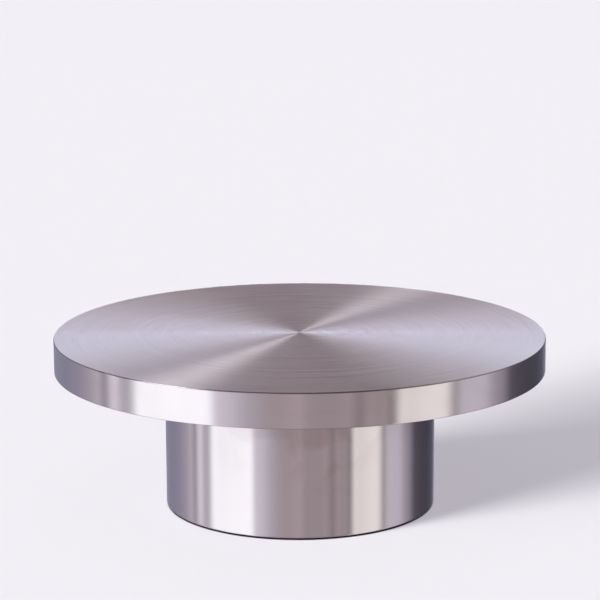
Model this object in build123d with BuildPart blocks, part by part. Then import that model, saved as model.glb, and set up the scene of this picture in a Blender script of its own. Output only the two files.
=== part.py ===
from build123d import *
import os
from dataclasses import dataclass

# A cake turntable. A shallow brushed-steel pan, stiffened by a board, turns on a spindle that
# runs in two ball bearings. Their housing hangs from a deck plate welded into a steel drum,
# and pillars tie the deck to a heavy base plate on rubber feet.
# Millimetres, +Z up. The origin is on the axis, at the surface that the feet stand on.

# Overall sizes
top_diameter = 305.0
overall_height = 108.0
rim_height = 21.0  # of the pan's rim, over the top sheet
drum_diameter = 168.3  # a stock tube
drum_gap = 2.0  # from the drum's upper edge to the pan's rim
floor_gap = 1.0  # from the surface to the drum's lower edge

# Sheet work and plates
pan_sheet = 1.5
pan_edge_radius = 0.6
pan_inner_radius = 0.5
pan_lip_radius = 0.4
underside_sheet = 2.0
underside_recess = 2.0  # the underside plate sits this far up inside the rim
drum_wall = 2.0
drum_edge_break = 0.3
deck_thickness = 5.0
deck_weld = 3.0
base_thickness = 8.0
hub_thickness = 5.0
hub_diameter = 110.0
core_edge_break = 1.0

# Spindle
spigot_diameter = 32.0
spigot_stop = 0.5  # the spigot ends this far below the hub plate's upper face
spindle_flange_diameter = 70.0
spindle_flange_thickness = 6.0
collar_diameter = 26.0
collar_height = 2.0
turned_edge_break = 0.8
spindle_tail = 3.0  # of shaft below the circlip's groove
tail_gap = 3.3  # from the shaft's end to the dust cap
centre_mark_diameter = 6.0

# Bearings, both the same: deep-groove, nine balls, sealed both sides
bearing_bore = 20.0
bearing_outer = 42.0
bearing_width = 12.0
ball_diameter = 6.35
ball_count = 9
land_share = 0.6  # the rings' lands lie this share of a ball's radius from the pitch circle
ring_edge_break = 0.6
cage_wall = 2.4
cage_end_gap = 0.4  # from the cage to a seal
seal_thickness = 0.8
seal_recess = 0.3

# Bearing housing and what holds the bearings
housing_wall = 6.0
housing_flange_width = 18.0
housing_flange_thickness = 5.0
housing_land = 16.0  # between the two bearing seats
housing_land_wall = 2.5  # how far the land stands in from the seats
bearing_sink = 0.5  # the upper bearing sits this far below the housing's top
preload_height = 1.5
preload_thickness = 0.5
shim_thickness = 0.5
shim_width = 3.5
circlip_thickness = 1.2
circlip_width = 2.6  # at its back, narrowing towards the ears
circlip_eccentricity = 0.6
circlip_groove_depth = 0.5
circlip_ear_angle = 22.0  # degrees from the middle of the opening to an ear
circlip_gap_angle = 12.0
circlip_ear_radius = 2.2
circlip_ear_hole = 0.9
spacer_wall = 2.5
cap_sheet = 1.0
cap_lip = 2.0
cap_depth = 4.0

# Pillars and feet
pillar_diameter = 14.0
pillar_inset = 22.0  # from the drum's inner wall to a pillar's axis
pillar_count = 4
pillar_bore_depth = 14.0
foot_diameter = 24.0
foot_count = 4
foot_margin = 2.0  # from a foot to the base plate's edge
foot_pocket = 2.2
foot_proud = 1.8  # a foot stands this far below the base plate
foot_seat = 1.6  # rubber under the screw's head
foot_recess_diameter = 10.0
foot_edge_break = 0.5
foot_head_height = 1.6  # of the screws' heads, sunk in the feet

# Screws and their patterns
socket_share = 0.75  # of a head's depth
tip_taper = 0.12  # of a screw's diameter
underside_screw_count = 8
underside_screw_inset = 18.0  # from the underside plate's edge
hub_screw_count = 6
housing_screw_count = 6

# Clearances, all on the radius
glue_gap = 0.25  # core board in the pan
plate_gap = 0.3  # loose plates in the rim and the drum
slip_gap = 0.01  # turned fits that are pushed together
thread_gap = 0.05  # plain shank in a tapped hole
screw_gap = 0.25  # shank in a clearance hole
ball_play = 0.03
pocket_play = 0.12
seal_play = 0.15
tip_margin = 1.0  # from a screw's tip to the end of its hole or plate
board_cover = 5.5  # of board over the underside screws' tips


@dataclass
class Screw:
    """A screw's sizes. Its length runs from the head's face to the tip."""

    diameter: float
    head_diameter: float
    socket: float  # across flats
    length: float

    @property
    def radius(self):
        return self.diameter / 2

    @property
    def head_radius(self):
        return self.head_diameter / 2


# Levels, from the surface up
base_bottom = foot_proud
base_top = base_bottom + base_thickness
foot_top = base_bottom + foot_pocket
rim_bottom = overall_height - rim_height
drum_top = rim_bottom - drum_gap
underside_bottom = rim_bottom + underside_recess
underside_top = underside_bottom + underside_sheet
hub_top = underside_top + hub_thickness
core_top = overall_height - pan_sheet
flange_bottom = underside_bottom - spindle_flange_thickness
upper_bearing_top = flange_bottom - collar_height
upper_bearing_bottom = upper_bearing_top - bearing_width
housing_top = upper_bearing_top + bearing_sink
deck_top = housing_top - housing_flange_thickness
deck_bottom = deck_top - deck_thickness
land_bottom = upper_bearing_bottom - housing_land
lower_bearing_top = land_bottom - preload_height
lower_bearing_bottom = lower_bearing_top - bearing_width
groove_top = lower_bearing_bottom - shim_thickness
groove_bottom = groove_top - circlip_thickness
spindle_bottom = groove_bottom - spindle_tail
housing_bottom = spindle_bottom - tail_gap

# Radii
top_radius = top_diameter / 2
pan_inside = top_radius - pan_sheet
drum_radius = drum_diameter / 2
drum_inside = drum_radius - drum_wall
base_radius = drum_inside - plate_gap
underside_radius = pan_inside - plate_gap
spigot_radius = spigot_diameter / 2
spindle_flange_radius = spindle_flange_diameter / 2
journal_radius = bearing_bore / 2
groove_radius = journal_radius - circlip_groove_depth
seat_radius = bearing_outer / 2
pitch_radius = (bearing_bore + bearing_outer) / 4
ball_radius = ball_diameter / 2
inner_land_radius = pitch_radius - land_share * ball_radius
outer_land_radius = pitch_radius + land_share * ball_radius
housing_radius = seat_radius + housing_wall
housing_flange_radius = housing_radius + housing_flange_width
housing_land_radius = seat_radius - housing_land_wall
foot_radius = foot_diameter / 2

# Circles that the screws, pillars and feet stand on
underside_screw_circle = underside_radius - underside_screw_inset
hub_screw_circle = (spigot_radius + spindle_flange_radius) / 2
housing_screw_circle = housing_radius + housing_flange_width / 2
pillar_circle = drum_inside - pillar_inset
pillar_angle = 180 / pillar_count  # the pillars stand between the feet
foot_circle = base_radius - foot_margin - foot_radius

# Screws. Each is as long as the stack that it goes through, less what its tip leaves.
board_stack = core_top - underside_bottom
hub_stack = hub_top - flange_bottom
housing_stack = housing_top - deck_bottom
deck_stack = deck_thickness + pillar_bore_depth
base_stack = base_thickness + pillar_bore_depth
foot_stack = base_top - foot_top + foot_seat
board_screw = Screw(diameter=4.0, head_diameter=8.0, socket=2.5, length=board_stack - board_cover)
hub_screw = Screw(diameter=5.0, head_diameter=10.0, socket=3.0, length=hub_stack - tip_margin)
housing_screw = Screw(diameter=5.0, head_diameter=10.0, socket=3.0, length=housing_stack)
deck_screw = Screw(diameter=6.0, head_diameter=12.0, socket=4.0, length=deck_stack - 2 * tip_margin)
base_screw = Screw(diameter=6.0, head_diameter=12.0, socket=4.0, length=base_stack - 2 * tip_margin)
foot_screw = Screw(diameter=4.0, head_diameter=8.0, socket=2.5, length=foot_stack - tip_margin)


def facing_down(height):
    """A level plane that looks down, so that a screw or a hole set on it runs upwards."""
    return Plane((0, 0, height), x_dir=(1, 0, 0), z_dir=(0, 0, -1))


def make_countersunk(screw):
    """A countersunk socket screw, its head's face on Z 0 and its tip below."""
    head_depth = screw.head_radius - screw.radius  # a 90 degree head
    tip_break = tip_taper * screw.diameter
    with BuildPart() as made:
        with BuildSketch(Plane.XZ):
            with BuildLine():
                Polyline(
                    (0, 0),
                    (screw.head_radius, 0),
                    (screw.radius, -head_depth),
                    (screw.radius, tip_break - screw.length),
                    (screw.radius - tip_break, -screw.length),
                    (0, -screw.length),
                    close=True,
                )
            make_face()
        revolve(axis=Axis.Z)
        with BuildSketch():
            RegularPolygon(screw.socket / 2, 6, major_radius=False)
        extrude(amount=-socket_share * head_depth, mode=Mode.SUBTRACT)
    return made.part


def make_pan_head(screw):
    """A low round-headed screw, its head standing up from Z 0 and its tip below."""
    head_bevel = foot_head_height / 2
    tip_break = tip_taper * screw.diameter
    with BuildPart() as made:
        with BuildSketch(Plane.XZ):
            with BuildLine():
                Polyline(
                    (0, foot_head_height),
                    (screw.head_radius - head_bevel, foot_head_height),
                    (screw.head_radius, foot_head_height - head_bevel),
                    (screw.head_radius, 0),
                    (screw.radius, 0),
                    (screw.radius, tip_break - screw.length),
                    (screw.radius - tip_break, -screw.length),
                    (0, -screw.length),
                    close=True,
                )
            make_face()
        revolve(axis=Axis.Z)
        with BuildSketch(Plane.XY.offset(foot_head_height)):
            RegularPolygon(screw.socket / 2, 6, major_radius=False)
        extrude(amount=-socket_share * foot_head_height, mode=Mode.SUBTRACT)
    return made.part


# --- The turning top ---

# The pan is one sheet, spun down over its edge into a straight rim.
with BuildPart() as top_pan:
    with BuildSketch(Plane.XZ) as pan_section:
        with BuildLine():
            Polyline(
                (0, overall_height),
                (top_radius, overall_height),
                (top_radius, rim_bottom),
                (pan_inside, rim_bottom),
                (pan_inside, core_top),
                (0, core_top),
                close=True,
            )
        make_face()
        corners = pan_section.vertices()
        fillet(corners.sort_by_distance((top_radius, overall_height))[0], pan_edge_radius)
        fillet(corners.sort_by_distance((pan_inside, core_top))[0], pan_inner_radius)
        fillet(corners.sort_by_distance((top_radius, rim_bottom))[:2], pan_lip_radius)
    revolve(axis=Axis.Z)

# The board that stiffens and quietens the pan, glued in. Its pocket holds the hub plate.
with BuildPart() as core_board:
    with BuildSketch(Plane.XY.offset(underside_top)):
        Circle(pan_inside - glue_gap)
    extrude(amount=core_top - underside_top)
    chamfer(core_board.edges().group_by(Axis.Z)[-1], core_edge_break)
    with BuildSketch(Plane.XY.offset(underside_top)):
        Circle(hub_diameter / 2 + plate_gap)
    extrude(amount=hub_thickness, mode=Mode.SUBTRACT)
    with Locations(facing_down(underside_bottom)):
        with PolarLocations(underside_screw_circle, underside_screw_count):
            Hole(board_screw.radius + thread_gap, board_screw.length + tip_margin)

# The tapped plate that the spindle is screwed to, through the underside plate.
with BuildPart() as hub_plate:
    with BuildSketch(Plane.XY.offset(underside_top)):
        Circle(hub_diameter / 2)
        Circle(spigot_radius + slip_gap, mode=Mode.SUBTRACT)
        with PolarLocations(hub_screw_circle, hub_screw_count):
            Circle(hub_screw.radius + thread_gap, mode=Mode.SUBTRACT)
    extrude(amount=hub_thickness)

# The sheet that closes the pan from below, screwed into the board.
with BuildPart() as underside_plate:
    with BuildSketch(Plane.XY.offset(underside_bottom)):
        Circle(underside_radius)
        Circle(spigot_radius + slip_gap, mode=Mode.SUBTRACT)
        with PolarLocations(hub_screw_circle, hub_screw_count):
            Circle(hub_screw.radius + screw_gap, mode=Mode.SUBTRACT)
    extrude(amount=underside_sheet)
    with Locations(facing_down(underside_bottom)):
        with PolarLocations(underside_screw_circle, underside_screw_count):
            CounterSinkHole(
                board_screw.radius + screw_gap,
                board_screw.head_radius,
                counter_sink_angle=90,
            )

with BuildPart() as underside_screws:
    with Locations(facing_down(underside_bottom)):
        with PolarLocations(underside_screw_circle, underside_screw_count):
            add(make_countersunk(board_screw))

# Spigot, flange, collar and journal, turned in one piece. The collar bears on the upper
# bearing's inner ring, and the groove near the tail takes the circlip.
with BuildPart() as spindle:
    with BuildSketch(Plane.XZ):
        with BuildLine():
            Polyline(
                (0, hub_top - spigot_stop),
                (spigot_radius - turned_edge_break, hub_top - spigot_stop),
                (spigot_radius, hub_top - spigot_stop - turned_edge_break),
                (spigot_radius, underside_bottom),
                (spindle_flange_radius, underside_bottom),
                (spindle_flange_radius, flange_bottom + turned_edge_break),
                (spindle_flange_radius - turned_edge_break, flange_bottom),
                (collar_diameter / 2, flange_bottom),
                (collar_diameter / 2, upper_bearing_top),
                (journal_radius, upper_bearing_top),
                (journal_radius, groove_top),
                (groove_radius, groove_top),
                (groove_radius, groove_bottom),
                (journal_radius, groove_bottom),
                (journal_radius, spindle_bottom + turned_edge_break),
                (journal_radius - turned_edge_break, spindle_bottom),
                (0, spindle_bottom),
                close=True,
            )
        make_face()
    revolve(axis=Axis.Z)
    with Locations((0, 0, spindle_bottom)):
        Cone(
            centre_mark_diameter / 2,
            0,
            centre_mark_diameter,
            align=(Align.CENTER, Align.CENTER, Align.MIN),
            mode=Mode.SUBTRACT,
        )
    with Locations(facing_down(flange_bottom)):
        with PolarLocations(hub_screw_circle, hub_screw_count):
            CounterSinkHole(
                hub_screw.radius + screw_gap,
                hub_screw.head_radius,
                spindle_flange_thickness,
                counter_sink_angle=90,
            )

with BuildPart() as hub_screws:
    with Locations(facing_down(flange_bottom)):
        with PolarLocations(hub_screw_circle, hub_screw_count):
            add(make_countersunk(hub_screw))

# Keeps the two inner rings apart.
with BuildPart() as ring_spacer:
    with BuildSketch(Plane.XY.offset(lower_bearing_top)):
        Circle(journal_radius + spacer_wall)
        Circle(journal_radius + slip_gap, mode=Mode.SUBTRACT)
    extrude(amount=upper_bearing_bottom - lower_bearing_top)

with BuildPart() as shim_washer:
    with BuildSketch(Plane.XY.offset(groove_top)):
        Circle(journal_radius + slip_gap + shim_width)
        Circle(journal_radius + slip_gap, mode=Mode.SUBTRACT)
    extrude(amount=shim_thickness)

# A snap ring with a holed ear each side of its opening, which faces +X.
with BuildPart() as circlip:
    ear_circle = groove_radius + circlip_ear_radius
    gap_corner = Vector(2 * ear_circle, 0).rotate(Axis.Z, circlip_gap_angle)
    with BuildSketch(Plane.XY.offset(groove_bottom)):
        with Locations((-circlip_eccentricity, 0)):
            Circle(groove_radius + circlip_width - circlip_eccentricity)
        with PolarLocations(ear_circle, 2, -circlip_ear_angle, 2 * circlip_ear_angle):
            Circle(circlip_ear_radius)
        Circle(groove_radius + slip_gap, mode=Mode.SUBTRACT)
        with PolarLocations(ear_circle, 2, -circlip_ear_angle, 2 * circlip_ear_angle):
            Circle(circlip_ear_hole, mode=Mode.SUBTRACT)
        with BuildLine():
            Polyline((0, 0), (gap_corner.X, -gap_corner.Y), (gap_corner.X, gap_corner.Y), close=True)
        make_face(mode=Mode.SUBTRACT)
    extrude(amount=circlip_thickness)


# --- The bearings ---

def make_bearing(bottom):
    """One sealed deep-groove bearing on the axis, as its five kinds of piece."""
    middle = bottom + bearing_width / 2
    race_radius = ball_radius + ball_play
    seal_offset = (bearing_width - seal_thickness) / 2 - seal_recess
    cage_height = 2 * seal_offset - seal_thickness - 2 * cage_end_gap

    with BuildPart() as inner_ring:
        with BuildSketch(Plane.XZ) as section:
            with Locations(((journal_radius + slip_gap + inner_land_radius) / 2, middle)):
                Rectangle(inner_land_radius - journal_radius - slip_gap, bearing_width)
            chamfer(section.vertices().group_by(Axis.X)[0], ring_edge_break)
            with Locations((pitch_radius, middle)):
                Circle(race_radius, mode=Mode.SUBTRACT)
        revolve(axis=Axis.Z)

    with BuildPart() as outer_ring:
        with BuildSketch(Plane.XZ) as section:
            with Locations(((seat_radius - slip_gap + outer_land_radius) / 2, middle)):
                Rectangle(seat_radius - slip_gap - outer_land_radius, bearing_width)
            chamfer(section.vertices().group_by(Axis.X)[-1], ring_edge_break)
            with Locations((pitch_radius, middle)):
                Circle(race_radius, mode=Mode.SUBTRACT)
        revolve(axis=Axis.Z)

    with BuildPart() as balls:
        with Locations((0, 0, middle)):
            with PolarLocations(pitch_radius, ball_count):
                Sphere(ball_radius)

    with BuildPart() as cage:
        with BuildSketch(Plane.XZ):
            with Locations((pitch_radius, middle)):
                Rectangle(cage_wall, cage_height)
        revolve(axis=Axis.Z)
        with Locations((0, 0, middle)):
            with PolarLocations(pitch_radius, ball_count):
                Cylinder(
                    ball_radius + pocket_play,
                    2 * cage_wall,
                    rotation=(0, 90, 0),
                    mode=Mode.SUBTRACT,
                )

    with BuildPart() as seals:
        with BuildSketch(Plane.XZ):
            seal_inside = inner_land_radius + seal_play
            with Locations(((seal_inside + outer_land_radius) / 2, middle)):
                with GridLocations(0, 2 * seal_offset, 1, 2):
                    Rectangle(outer_land_radius - seal_inside, seal_thickness)
        revolve(axis=Axis.Z)

    return {
        "inner_ring": inner_ring.part,
        "outer_ring": outer_ring.part,
        "balls": balls.part,
        "ball_cage": cage.part,
        "seals": seals.part,
    }


# --- The still parts ---

# The turned housing: a flange on the deck, two bearing seats and the land between them.
with BuildPart() as bearing_housing:
    with BuildSketch(Plane.XZ):
        with BuildLine():
            Polyline(
                (seat_radius, housing_top),
                (housing_flange_radius, housing_top),
                (housing_flange_radius, deck_top),
                (housing_radius, deck_top),
                (housing_radius, housing_bottom),
                (seat_radius, housing_bottom),
                (seat_radius, land_bottom),
                (housing_land_radius, land_bottom),
                (housing_land_radius, upper_bearing_bottom),
                (seat_radius, upper_bearing_bottom),
                close=True,
            )
        make_face()
    revolve(axis=Axis.Z)
    with Locations((0, 0, housing_top)):
        with PolarLocations(housing_screw_circle, housing_screw_count):
            CounterSinkHole(
                housing_screw.radius + screw_gap,
                housing_screw.head_radius,
                housing_flange_thickness,
                counter_sink_angle=90,
            )

with BuildPart() as housing_screws:
    with Locations((0, 0, housing_top)):
        with PolarLocations(housing_screw_circle, housing_screw_count):
            add(make_countersunk(housing_screw))

# A conical spring between the housing's land and the lower outer ring.
with BuildPart() as preload_spring:
    spring_outside = seat_radius - plate_gap
    spring_inside = outer_land_radius + slip_gap
    with BuildSketch(Plane.XZ):
        with BuildLine():
            Polyline(
                (spring_inside, lower_bearing_top),
                (spring_outside, land_bottom - preload_thickness),
                (spring_outside, land_bottom),
                (spring_inside, lower_bearing_top + preload_thickness),
                close=True,
            )
        make_face()
    revolve(axis=Axis.Z)

# The cup that closes the housing's lower end and keeps flour out of it.
with BuildPart() as dust_cap:
    with BuildSketch(Plane.XZ):
        with BuildLine():
            Polyline(
                (0, housing_bottom - cap_sheet),
                (seat_radius + cap_lip, housing_bottom - cap_sheet),
                (seat_radius + cap_lip, housing_bottom),
                (seat_radius - slip_gap, housing_bottom),
                (seat_radius - slip_gap, housing_bottom + cap_depth),
                (seat_radius - slip_gap - cap_sheet, housing_bottom + cap_depth),
                (seat_radius - slip_gap - cap_sheet, housing_bottom),
                (0, housing_bottom),
                close=True,
            )
        make_face()
    revolve(axis=Axis.Z)

# The deck carries the housing. It is welded into the drum all round its lower edge.
with BuildPart() as deck_plate:
    with BuildSketch(Plane.XY.offset(deck_bottom)):
        Circle(drum_inside)
        Circle(housing_radius + plate_gap, mode=Mode.SUBTRACT)
        with PolarLocations(housing_screw_circle, housing_screw_count):
            Circle(housing_screw.radius + thread_gap, mode=Mode.SUBTRACT)
    extrude(amount=deck_thickness)
    with BuildSketch(Plane.XZ):
        with BuildLine():
            Polyline(
                (drum_inside, deck_bottom),
                (drum_inside, deck_bottom - deck_weld),
                (drum_inside - deck_weld, deck_bottom),
                close=True,
            )
        make_face()
    revolve(axis=Axis.Z)
    with Locations((0, 0, deck_top)):
        with PolarLocations(pillar_circle, pillar_count, pillar_angle):
            CounterSinkHole(
                deck_screw.radius + screw_gap,
                deck_screw.head_radius,
                counter_sink_angle=90,
            )

with BuildPart() as deck_screws:
    with Locations((0, 0, deck_top)):
        with PolarLocations(pillar_circle, pillar_count, pillar_angle):
            add(make_countersunk(deck_screw))

with BuildPart() as drum_shell:
    with BuildSketch(Plane.XY.offset(floor_gap)):
        Circle(drum_radius)
        Circle(drum_inside, mode=Mode.SUBTRACT)
    extrude(amount=drum_top - floor_gap)
    chamfer(drum_shell.edges().filter_by(GeomType.CIRCLE), drum_edge_break)

with BuildPart() as pillars:
    with BuildSketch(Plane.XY.offset(base_top)):
        with PolarLocations(pillar_circle, pillar_count, pillar_angle):
            Circle(pillar_diameter / 2)
    extrude(amount=deck_bottom - base_top)
    chamfer(pillars.edges().filter_by(GeomType.CIRCLE), turned_edge_break)
    with Locations((0, 0, deck_bottom)):
        with PolarLocations(pillar_circle, pillar_count, pillar_angle):
            Hole(deck_screw.radius + thread_gap, pillar_bore_depth)
    with Locations(facing_down(base_top)):
        with PolarLocations(pillar_circle, pillar_count, pillar_angle):
            Hole(base_screw.radius + thread_gap, pillar_bore_depth)

# The base plate is also the ballast. Its pockets hold the feet.
with BuildPart() as base_plate:
    with BuildSketch(Plane.XY.offset(base_bottom)):
        Circle(base_radius)
        with PolarLocations(foot_circle, foot_count):
            Circle(foot_screw.radius + thread_gap, mode=Mode.SUBTRACT)
    extrude(amount=base_thickness)
    with Locations(facing_down(base_bottom)):
        with PolarLocations(pillar_circle, pillar_count, pillar_angle):
            CounterSinkHole(
                base_screw.radius + screw_gap,
                base_screw.head_radius,
                counter_sink_angle=90,
            )
        with PolarLocations(foot_circle, foot_count):
            Hole(foot_radius + plate_gap, foot_pocket)

with BuildPart() as base_screws:
    with Locations(facing_down(base_bottom)):
        with PolarLocations(pillar_circle, pillar_count, pillar_angle):
            add(make_countersunk(base_screw))

with BuildPart() as rubber_feet:
    with BuildSketch():
        with PolarLocations(foot_circle, foot_count):
            Circle(foot_radius)
    extrude(amount=foot_top)
    chamfer(rubber_feet.edges().group_by(Axis.Z)[0], foot_edge_break)
    with Locations(facing_down(0)):
        with PolarLocations(foot_circle, foot_count):
            CounterBoreHole(
                foot_screw.radius + screw_gap,
                foot_recess_diameter / 2,
                foot_top - foot_seat,
            )

with BuildPart() as foot_screws:
    with Locations(facing_down(foot_top - foot_seat)):
        with PolarLocations(foot_circle, foot_count):
            add(make_pan_head(foot_screw))


pieces = {
    "top_pan": top_pan.part,
    "core_board": core_board.part,
    "hub_plate": hub_plate.part,
    "underside_plate": underside_plate.part,
    "underside_screws": underside_screws.part,
    "spindle": spindle.part,
    "hub_screws": hub_screws.part,
    "ring_spacer": ring_spacer.part,
    "shim_washer": shim_washer.part,
    "circlip": circlip.part,
    "bearing_housing": bearing_housing.part,
    "housing_screws": housing_screws.part,
    "preload_spring": preload_spring.part,
    "dust_cap": dust_cap.part,
    "deck_plate": deck_plate.part,
    "deck_screws": deck_screws.part,
    "drum_shell": drum_shell.part,
    "pillars": pillars.part,
    "base_plate": base_plate.part,
    "base_screws": base_screws.part,
    "rubber_feet": rubber_feet.part,
    "foot_screws": foot_screws.part,
}
for place, bottom in (("upper", upper_bearing_bottom), ("lower", lower_bearing_bottom)):
    for kind, piece in make_bearing(bottom).items():
        pieces[f"{place}_{kind}"] = piece

os.makedirs("parts", exist_ok=True)
for name, piece in pieces.items():
    piece.label = name
    export_step(piece, f"parts/{name}.step")
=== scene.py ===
import math

import bmesh
import bpy
from mathutils import Euler, Matrix, Vector


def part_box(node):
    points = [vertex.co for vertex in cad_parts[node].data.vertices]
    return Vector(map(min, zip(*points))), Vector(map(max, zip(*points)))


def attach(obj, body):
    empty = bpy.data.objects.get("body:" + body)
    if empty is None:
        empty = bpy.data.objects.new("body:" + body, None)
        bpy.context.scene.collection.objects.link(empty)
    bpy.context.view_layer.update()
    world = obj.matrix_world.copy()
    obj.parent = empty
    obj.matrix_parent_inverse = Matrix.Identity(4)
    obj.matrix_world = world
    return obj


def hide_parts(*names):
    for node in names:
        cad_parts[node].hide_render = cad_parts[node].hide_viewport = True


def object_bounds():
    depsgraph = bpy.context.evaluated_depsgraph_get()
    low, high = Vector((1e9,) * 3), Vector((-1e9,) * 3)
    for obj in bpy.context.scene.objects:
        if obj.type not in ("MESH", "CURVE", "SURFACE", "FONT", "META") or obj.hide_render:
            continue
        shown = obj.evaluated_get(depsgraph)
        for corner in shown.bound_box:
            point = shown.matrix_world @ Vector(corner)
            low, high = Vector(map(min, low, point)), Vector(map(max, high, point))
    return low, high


# A brushed-steel cake turntable: its pan, drum, screws and feet, every finish, and the studio.
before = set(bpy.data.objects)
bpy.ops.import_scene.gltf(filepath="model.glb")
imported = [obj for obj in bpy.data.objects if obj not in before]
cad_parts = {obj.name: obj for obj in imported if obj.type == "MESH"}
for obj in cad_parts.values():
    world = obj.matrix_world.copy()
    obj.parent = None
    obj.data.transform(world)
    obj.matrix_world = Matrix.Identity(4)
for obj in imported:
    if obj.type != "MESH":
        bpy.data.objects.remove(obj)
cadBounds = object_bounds()
mm = 0.001


def measure(node):
    # A round node's levels and its radius.
    low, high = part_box(node)
    return low.z, high.z, max(high.x, high.y)


def feed(tree, source, socket):
    if isinstance(source, bpy.types.NodeSocket):
        tree.links.new(source, socket)
    else:
        socket.default_value = source


def calc(tree, operation, *sources):
    node = tree.nodes.new("ShaderNodeMath")
    node.operation = operation
    for socket, source in zip(node.inputs, sources):
        feed(tree, source, socket)
    return node.outputs["Value"]


def calcVector(tree, operation, *sources):
    node = tree.nodes.new("ShaderNodeVectorMath")
    node.operation = operation
    for socket, source in zip(node.inputs, sources):
        feed(tree, source, socket)
    return node.outputs["Value" if operation == "LENGTH" else "Vector"]


def splitPlace(tree, place):
    node = tree.nodes.new("ShaderNodeSeparateXYZ")
    feed(tree, place, node.inputs["Vector"])
    return node.outputs["X"], node.outputs["Y"], node.outputs["Z"]


def joinPlace(tree, x, y, z):
    node = tree.nodes.new("ShaderNodeCombineXYZ")
    for socket, source in zip(node.inputs, (x, y, z)):
        feed(tree, source, socket)
    return node.outputs["Vector"]


def objectPlace(tree):
    return tree.nodes.new("ShaderNodeTexCoord").outputs["Object"]


def noise(tree, place, stretch, detail=2.0, distortion=0.0):
    node = tree.nodes.new("ShaderNodeTexNoise")
    feed(tree, calcVector(tree, "MULTIPLY", place, stretch), node.inputs["Vector"])
    node.inputs["Scale"].default_value = 1.0
    node.inputs["Detail"].default_value = detail
    node.inputs["Distortion"].default_value = distortion
    return node.outputs["Fac"]


def remap(tree, source, low, high, newLow=0.0, newHigh=1.0):
    node = tree.nodes.new("ShaderNodeMapRange")
    feed(tree, source, node.inputs["Value"])
    node.inputs["From Min"].default_value = low
    node.inputs["From Max"].default_value = high
    node.inputs["To Min"].default_value = newLow
    node.inputs["To Max"].default_value = newHigh
    return node.outputs["Result"]


def mixColours(tree, amount, first, second):
    node = tree.nodes.new("ShaderNodeMix")
    node.data_type = "RGBA"
    for number, source in ((0, amount), (6, first), (7, second)):
        feed(tree, source, node.inputs[number])
    return node.outputs[2]


def startMaterial(name):
    material = bpy.data.materials.new(name)
    material.use_nodes = True
    tree = material.node_tree
    return material, tree, tree.nodes["Principled BSDF"]


def raiseBumps(tree, shader, height, strength, depth):
    bump = tree.nodes.new("ShaderNodeBump")
    bump.inputs["Strength"].default_value = strength
    bump.inputs["Distance"].default_value = depth
    feed(tree, height, bump.inputs["Height"])
    tree.links.new(bump.outputs["Normal"], shader.inputs["Normal"])


# Where the noise in a metal turns into marks, and the tilt of an edge into painted shade: from where they
# start to where they are full.
grainMarks = {
    "darkStreaks": (0.62, 0.36),
    "tintedBands": (0.5, 0.72),
    "handled": (0.44, 0.58),
    "smudges": (0.44, 0.60),
    "dullSmudges": (0.5, 0.8),
    "ripplePatches": (0.35, 0.65),
    "leastRipple": 0.25,
    # edge: where the painted shade along a rounded upper edge starts and where it is full, by the tilt of
    # the face.
    "edge": (0.07, 0.17),
    "fineSwing": 0.2,
    "broadHeight": 0.8,  # share of the fine streaks' height
    "lengthInMetre": 10.0,  # brings straight grain near the round grain's scale
}


def roundGrain(tree):
    # Grain round the Z axis. One set of coordinates holds on a face, over its edge and down a wall.
    place = objectPlace(tree)
    flat = calcVector(tree, "MULTIPLY", place, (1, 1, 0))
    outward = calcVector(tree, "NORMALIZE", flat)
    height = splitPlace(tree, place)[2]
    across = calc(tree, "SUBTRACT", calcVector(tree, "LENGTH", flat), height)
    along = calcVector(tree, "CROSS_PRODUCT", (0, 0, 1), outward)
    return calcVector(tree, "ADD", outward, joinPlace(tree, 0, 0, across)), along


def straightGrain(tree):
    # Grain along X, as the sheet was rolled.
    x, y, z = splitPlace(tree, objectPlace(tree))
    along = calc(tree, "MULTIPLY", x, grainMarks["lengthInMetre"])
    return joinPlace(tree, along, 0, calc(tree, "ADD", y, z)), (1, 0, 0)


def upShare(tree):
    # 1 on a face that looks up, 0 on a wall, -1 on a face that looks down.
    return splitPlace(tree, tree.nodes.new("ShaderNodeNewGeometry").outputs["Normal"])[2]


def paintedEdgeShadeMask(tree):
    # Where the painted shade goes: 1 half way round an upper edge, 0 on faces, on walls and on anything that
    # looks down.
    up = upShare(tree)
    between = calc(tree, "MULTIPLY", up, calc(tree, "SUBTRACT", 1.0, up))
    return remap(tree, between, *grainMarks["edge"])


def metalColour(tree, look, streaks, smudges, grainShare, smudgeShare):
    dark = remap(tree, streaks["broad"], *grainMarks["darkStreaks"])
    dark = calc(tree, "MULTIPLY", dark, grainShare)
    colour = mixColours(tree, dark, look["tone"], look["darkTone"])
    tinted = remap(tree, streaks["bands"], *grainMarks["tintedBands"], 0.0, look["tintAmount"])
    colour = mixColours(tree, calc(tree, "MULTIPLY", tinted, grainShare), colour, look["coolTone"])
    moved = calcVector(tree, "ADD", objectPlace(tree), look["patchPlace"])
    handled = remap(tree, noise(tree, moved, (look["patches"],) * 3), *grainMarks["handled"])
    smudged = calc(tree, "MULTIPLY", handled, smudgeShare)
    smudged = calc(tree, "MULTIPLY", remap(tree, smudges, *grainMarks["smudges"]), smudged)
    colour = mixColours(tree, smudged, colour, look["warmTone"])
    # Painted shade: a dark line along the rounded upper edge.
    if look["paintedEdgeShadeAmount"]:
        edge = calc(tree, "MULTIPLY", paintedEdgeShadeMask(tree), look["paintedEdgeShadeAmount"])
        colour = mixColours(tree, edge, colour, look["paintedEdgeShadeTone"])
    return colour


def metalRoughness(tree, look, streaks, smudges, grainShare, level):
    swing = grainMarks["fineSwing"]
    streak = calc(tree, "MULTIPLY", calc(tree, "SUBTRACT", streaks["fine"], 0.5), grainShare)
    roughness = remap(tree, streak, -swing, swing, *look["roughness"])
    dulled = remap(tree, smudges, *grainMarks["dullSmudges"], 0.0, look["smudgeRoughness"])
    polish = remap(tree, level, 0.0, 1.0, -look["wallPolish"], 0.0)
    return calc(tree, "ADD", calc(tree, "ADD", roughness, dulled), polish)


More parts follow.
